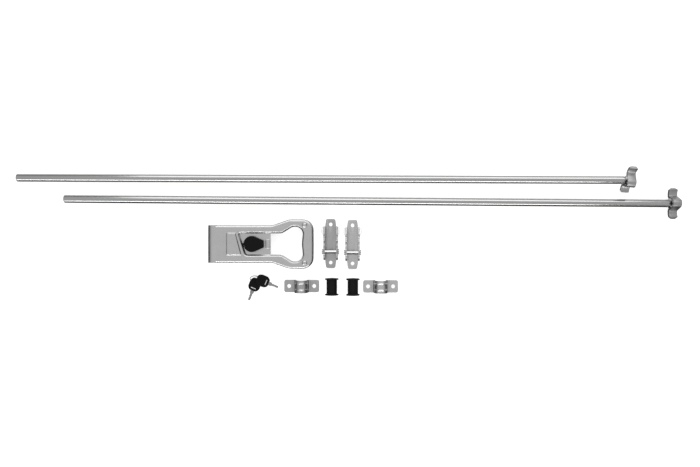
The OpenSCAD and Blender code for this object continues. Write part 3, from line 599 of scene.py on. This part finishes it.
STRAP_AT = {"left": (115, -87.3), "right": (278.3, -88)}
STRAP_T, STRAP_R, STRAP_BEND, STRAP_W = 2.5, 10.9, 4.0, 25.9
STRAP_END, STRAP_LAP, STRAP_HOLE_X, STRAP_HOLE_R, STRAP_EDGE = 36, 1, 26, 3.95, 0.35
RIB_RISE, RIB_UNDER, RIB_AT, RIB_HALF, RIB_FOOT, RIB_STEPS = 1.2, 0.8, 6.4, 1.9, 3, 4


def strap_section(rise):
    """The arch across the bar, its legs and the start of its feet; a pressed rib lifts it by rise."""
    out, inner = STRAP_R + STRAP_T + rise, STRAP_R + RIB_UNDER * rise
    leg, low = STRAP_R + STRAP_T, STRAP_T + STRAP_BEND
    foot = leg + STRAP_BEND
    right = [(out, AXIS_Z), (out, low + RIB_FOOT), (leg, low)]
    right += arc((foot, low), STRAP_BEND, 180, 90, 6)[1:]
    right += [(foot + STRAP_LAP, STRAP_T), (foot + STRAP_LAP, 0), (STRAP_R, 0), (STRAP_R, low)]
    right += [(inner, low + RIB_FOOT), (inner, AXIS_Z)]
    over = arc((0, AXIS_Z), out, 180, -180, 32)[1:-1]
    under = arc((0, AXIS_Z), inner, 0, 180, 32)[1:-1]
    return mirrored(right) + over + right + under


def strap():
    """The arch with its two ribs, and a foot with a hole on each side."""
    rib = [(RIB_HALF * k / RIB_STEPS, RIB_RISE * math.cos(math.pi / 2 * k / RIB_STEPS) ** 2)
           for k in range(-RIB_STEPS, RIB_STEPS + 1)]
    wide = STRAP_W / 2
    stations = [(-wide, 0)] + [(s * RIB_AT + d, h) for s in (-1, 1) for d, h in rib] + [(wide, 0)]
    bm = bmesh.new()
    loops = skin(bm, [(strap_section(h), y) for y, h in stations])
    for end in (loops[0], loops[-1]):
        bmesh.ops.contextual_create(bm, geom=end)
    bmesh.ops.recalc_face_normals(bm, faces=bm.faces)
    soften(bm, STRAP_EDGE, segments=2, least=70)
    parts = [put(bm, turn("X", 90))]
    foot = rounded(rect(STRAP_R + STRAP_T + STRAP_BEND, STRAP_END, wide, 0.3, 4), 6)
    hole = circle((STRAP_HOLE_X, 0), STRAP_HOLE_R)
    for a in (0, 180):
        plate = prism(foot, STRAP_T, bevel=STRAP_EDGE, segments=2, holes=[hole])
        parts.append(put(plate, turn("Z", a)))
    return merged(parts)


for side, at in STRAP_AT.items():
    whole = put(strap(), move(*at))
    piece(side + " bearing strap", whole, SIDE_ZINC_WITH_PAINTED_SHADE[side], "door_set", [side + "_strap"])


# Bushes

BUSH_AT = {"left": (177.6, -87.9), "right": (220.9, -88.3)}
BUSH_R, BUSH_LEN, BUSH_BORE, BORE_EDGE, NECK = 10.7, 34.5, 8.05, 0.5, 0.8
FLANGE_R, FLANGE_T, FLANGE_EDGE = 14.0, 2.7, 0.6


def bush():
    """A sleeve along Y with a flange at each end."""
    rim = FLANGE_R - FLANGE_EDGE
    end = [(BUSH_BORE, BORE_EDGE), (BUSH_BORE + BORE_EDGE, 0), (rim, 0), (FLANGE_R, FLANGE_EDGE),
           (FLANGE_R, FLANGE_T - FLANGE_EDGE), (rim, FLANGE_T), (BUSH_R + NECK, FLANGE_T),
           (BUSH_R, FLANGE_T + NECK)]
    profile = end + [(r, BUSH_LEN - z) for r, z in reversed(end)]
    return put(lathe(profile, steps=64), Z_TO_Y, move(0, -BUSH_LEN / 2))


for side, at in BUSH_AT.items():
    piece(side + " bush", put(bush(), move(*at, FLANGE_R)), nylon, "door_set", [side + "_bush"])


# Keys and their ring

KEY_L, KEY_W, KEY_T = 27.0, 24.0, 4.4
BLADE_END, BLADE_HALF, BLADE_T, SHANK_HALF, ROOT_HALF = 34.5, 2.3, 2, 3.9, 6.3
EDGE_T, EDGE_SINK = 1.3, 1.2
RING_R, WIRE_R = 8.2, 0.8
KEY_AT = {"a": move(18.1, -84.1, 0.2) @ turn("Z", -111.1), "b": move(35, -76.2, 5.2) @ turn("Z", -22.6)}
RING_AT = move(17.2, -70.4, 8.0) @ turn("Z", 14) @ turn("X", 55)


def key_head():
    """A rounded head, widest a little towards the blade."""
    half = [(-KEY_L / 2, -KEY_W * 0.36, 7), (-KEY_L * 0.18, -KEY_W / 2, 9), (KEY_L * 0.28, -KEY_W / 2, 9),
            (KEY_L / 2, -KEY_W * 0.3, 6)]
    outline = rounded(half + [(x, -y, r) for x, y, r in reversed(half)], 8)
    return prism(outline, KEY_T, bevel=1.2, segments=4)


def key_blade():
    """The wide root inside the head, the shank, and the blade with two cuts in one edge."""
    root = [(-8, ROOT_HALF), (-4, ROOT_HALF), (-4, SHANK_HALF), (5, SHANK_HALF), (6.5, BLADE_HALF)]
    root = [(KEY_L / 2 + x, y) for x, y in root]
    cuts = [(-9, BLADE_HALF), (-7.5, 1.3), (-6, BLADE_HALF), (-4.5, BLADE_HALF), (-3.5, 1.5),
            (-2.5, BLADE_HALF)]
    cuts = [(BLADE_END + x, y) for x, y in cuts]
    tip = [(BLADE_END - 0.7, BLADE_HALF), (BLADE_END, 1.4)]
    plan = [(x, -y) for x, y in root + cuts + tip] + (root + tip)[::-1]
    blade = prism(plan, BLADE_T, bevel=0.25, segments=2)
    return put(blade, move(0, 0, (KEY_T - BLADE_T) / 2))


def window_edge():
    """The root's bright edge in the window of the head."""
    outline = rounded(rect(6.9, 8.5, 5.5, 0.7, 0.7), 4)
    return put(prism(outline, EDGE_T, bevel=0.25), move(0, 0, KEY_T - EDGE_SINK))


for tag, place in KEY_AT.items():
    key = "key " + tag
    body = "key_" + tag
    piece(key + " head", put(key_head(), place), moulding, body, [body + "_head"])
    piece(key + " blade", put(key_blade(), place), nickel, body, [body + "_blade"])
    piece(key + " window edge", put(window_edge(), place), polished, body, [])
wire = lathe(circle((RING_R, 0), WIRE_R, 16), steps=64)
piece("key ring", put(wire, RING_AT), ring_nickel, "door_set", ["key_ring"])


# Finishes of the pieces that keep their CAD form

CAD_FINISH = {
    "base_plate": sheet_zinc,
    "hub_sleeve": turned_zinc,
    "hub_grub_screws": turned_zinc,
    "handle_catch": strip_zinc,
    "lock_housing": moulding,
    "lock_plug": turned_zinc,
    "lock_nut": turned_zinc,
    "lock_tongue": strip_zinc,
    "tongue_screw": turned_zinc,
    "cover_hinge_pin": turned_zinc,
}
for name, material in CAD_FINISH.items():
    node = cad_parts[name]
    node.data.materials.clear()
    node.data.materials.append(material)


# Floor, light and camera, in metres

VIEW_X, VIEW_Y, VIEW_H = 0.215, 0.0214, 1.335
VIEW_HALF_WIDTH, SENSOR_MM = 0.72537, 36
FLOOR_SIZE, FLOOR_DROP = 12, 0.0002
bpy.ops.mesh.primitive_plane_add(size=FLOOR_SIZE, location=(VIEW_X, VIEW_Y, -FLOOR_DROP))
floor = bpy.context.object
floor.name = "floor"
# White table lit from below, so it stays pale under the pieces; metal reflects the room instead of it.
white = bpy.data.materials.new("lit_white_table")
white.use_nodes = True
paper = white.node_tree.nodes["Principled BSDF"]
paper.inputs["Base Color"].default_value = linear("#F5F5F5")
paper.inputs["Roughness"].default_value = 0.9
paper.inputs["Emission Color"].default_value = (1, 1, 1, 1)
paper.inputs["Emission Strength"].default_value = 0.7
floor.data.materials.append(white)
floor.visible_glossy = False


def softbox(name, at, size, power):
    """A rectangular light that faces the middle line of the floor."""
    light = bpy.data.lights.new(name, "AREA")
    light.shape = "RECTANGLE"
    light.size, light.size_y = size
    light.energy = power
    obj = bpy.data.objects.new(name, light)
    obj.location = at
    obj.rotation_euler = (Vector((at[0], VIEW_Y, 0)) - Vector(at)).to_track_quat("-Z", "Y").to_euler()
    bpy.context.scene.collection.objects.link(obj)


# As the tubes reflect them, the front light ends short of the right ends and the back one short of
# both, so the white lines fade there.
softbox("front strip light", at=(-0.22, -2.0, 0.9), size=(3.6, 0.55), power=24.5)
softbox("back softbox", at=(0.4, 1.7, 1.2), size=(2.7, 1.7), power=17.2)

# The room is dark below the table's edge, with grey walls and a pale grey ceiling. Low at the back
# the white table shows.
world = bpy.data.worlds.new("studio")
bpy.context.scene.world = world
world.use_nodes = True
room = world.node_tree
way = add(room, "ShaderNodeTexCoord").outputs["Generated"]
axes = add(room, "ShaderNodeSeparateXYZ", links={"Vector": way}).outputs
height = add(room, "ShaderNodeMapRange", {"From Min": -1.0, "From Max": 1.0}, {"Value": axes["Z"]})
walls = add(room, "ShaderNodeValToRGB", links={"Fac": height.outputs["Result"]})
stops = walls.color_ramp.elements
stops[0].color = linear("#2A2A2A")
stops[1].color = linear("#C4C4C4")
for at, code in ((0.49, "#3C3C3C"), (0.53, "#6C6C6C"), (0.65, "#8A8A8A"), (0.8, "#BABABA")):
    stops.new(at).color = linear(code)
low = add(room, "ShaderNodeMapRange", {"From Min": 0.1, "From Max": -0.1}, {"Value": axes["Z"]})
back = add(room, "ShaderNodeMapRange", {"From Min": 0.05, "From Max": 0.45}, {"Value": axes["Y"]})
share = add(room, "ShaderNodeMath", links={0: low.outputs["Result"], 1: back.outputs["Result"]},
            operation="MULTIPLY")
table = add(room, "ShaderNodeMix", {MIX_B: linear("#DCDCDC")},
            {MIX_SHARE: share.outputs["Value"], MIX_A: walls.outputs["Color"]}, data_type="RGBA")
room.links.new(table.outputs[MIX_OUT], room.nodes["Background"].inputs["Color"])

# The camera looks straight down, and its picture spans twice VIEW_HALF_WIDTH on the floor.
lens = bpy.data.cameras.new("camera")
lens.sensor_width = SENSOR_MM
lens.lens = SENSOR_MM / (2 * VIEW_HALF_WIDTH / VIEW_H)
lens.clip_start = 0.05
camera = bpy.data.objects.new("camera", lens)
camera.location = (VIEW_X, VIEW_Y, VIEW_H)
camera.rotation_euler = (0, 0, 0)
bpy.context.scene.collection.objects.link(camera)
bpy.context.scene.camera = camera
bpy.context.scene.view_settings.view_transform = "Standard"
